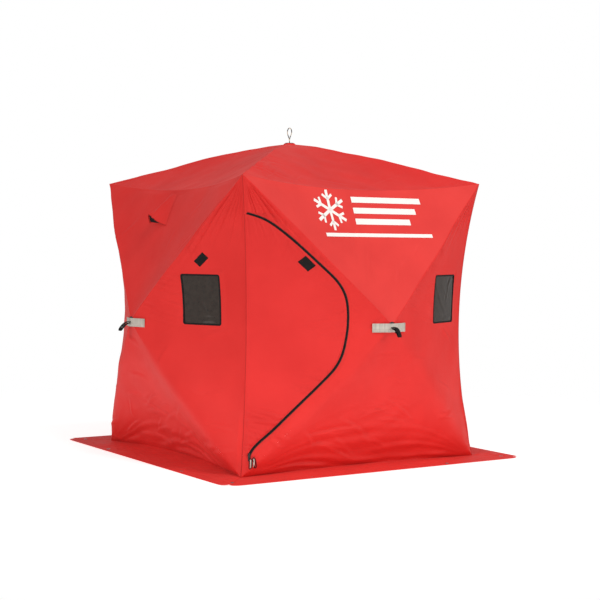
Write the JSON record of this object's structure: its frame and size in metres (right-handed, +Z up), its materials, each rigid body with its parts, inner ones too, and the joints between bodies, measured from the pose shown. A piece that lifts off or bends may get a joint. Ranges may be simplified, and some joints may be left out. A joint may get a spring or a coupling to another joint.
{
  "type": "ice fishing hut",
  "caption": "Pop-up fabric ice fishing hut: four hub-pushed walls and a roof on bent poles, with a zipped flap door, windows, hooded vents and an anchored snow skirt.",
  "frame": {"origin": "centre of the footprint, on the ground", "axes": "+Z up, +X to the right as seen by someone facing the door wall, and the door wall faces -Y"},
  "size_m": [2.5008, 2.5008, 2.1759],
  "materials": {
    "red_fabric": "coated polyester, satin",
    "dark_red_fabric": "coated polyester, satin",
    "black_webbing": "woven tape, matt",
    "clear_vinyl": "dark tinted vinyl, glossy",
    "black_plastic": "moulded nylon, matt",
    "fibreglass": "fibreglass rod, semi-gloss",
    "reflective_tape": "reflective woven tape, satin",
    "zinc": "zinc plated, satin"
  },
  "bodies": {
    "hut": {"front_top_panel": "red_fabric", "front_bottom_panel": "red_fabric", "front_door_panel": "red_fabric", "front_window_panel": "red_fabric", "left_top_panel": "red_fabric", "left_bottom_panel": "red_fabric", "left_plain_panel": "red_fabric", "left_window_panel": "red_fabric", "back_top_panel": "red_fabric", "back_bottom_panel": "red_fabric", "back_plain_panel": "red_fabric", "back_window_panel": "red_fabric", "right_top_panel": "red_fabric", "right_bottom_panel": "red_fabric", "right_plain_panel": "red_fabric", "right_window_panel": "red_fabric", "roof_front_panel": "red_fabric", "roof_left_panel": "red_fabric", "roof_back_panel": "red_fabric", "roof_right_panel": "red_fabric", "front_skirt": "dark_red_fabric", "left_skirt": "dark_red_fabric", "back_skirt": "dark_red_fabric", "right_skirt": "dark_red_fabric", "wall_zipper_tape": "black_webbing", "zipper_sliders": "zinc", "wall_patch": "black_webbing", "window_panes": "clear_vinyl", "window_bindings": "black_webbing", "vent_hoods": "red_fabric", "vent_screens": "black_webbing", "wall_hubs": "black_plastic", "roof_hub": "black_plastic", "wall_poles": "fibreglass", "roof_poles": "fibreglass", "top_corner_sockets": "black_plastic", "bottom_corner_sockets": "black_plastic", "reflective_strips": "reflective_tape", "pull_loops": "black_webbing", "roof_cord_loop": "reflective_tape", "anchor_eyelets": "zinc"},
    "door": {"door_flap": "dark_red_fabric", "door_zipper_tape": "black_webbing", "door_patch": "black_webbing"}
  },
  "joints": [
    {"name": "door_swing", "type": "hinge", "parent": "hut", "child": "door", "pos_m": [-0.86, -0.884, 0.9], "axis": [0, 0, -1], "range_deg": [0, 170]}
  ]
}
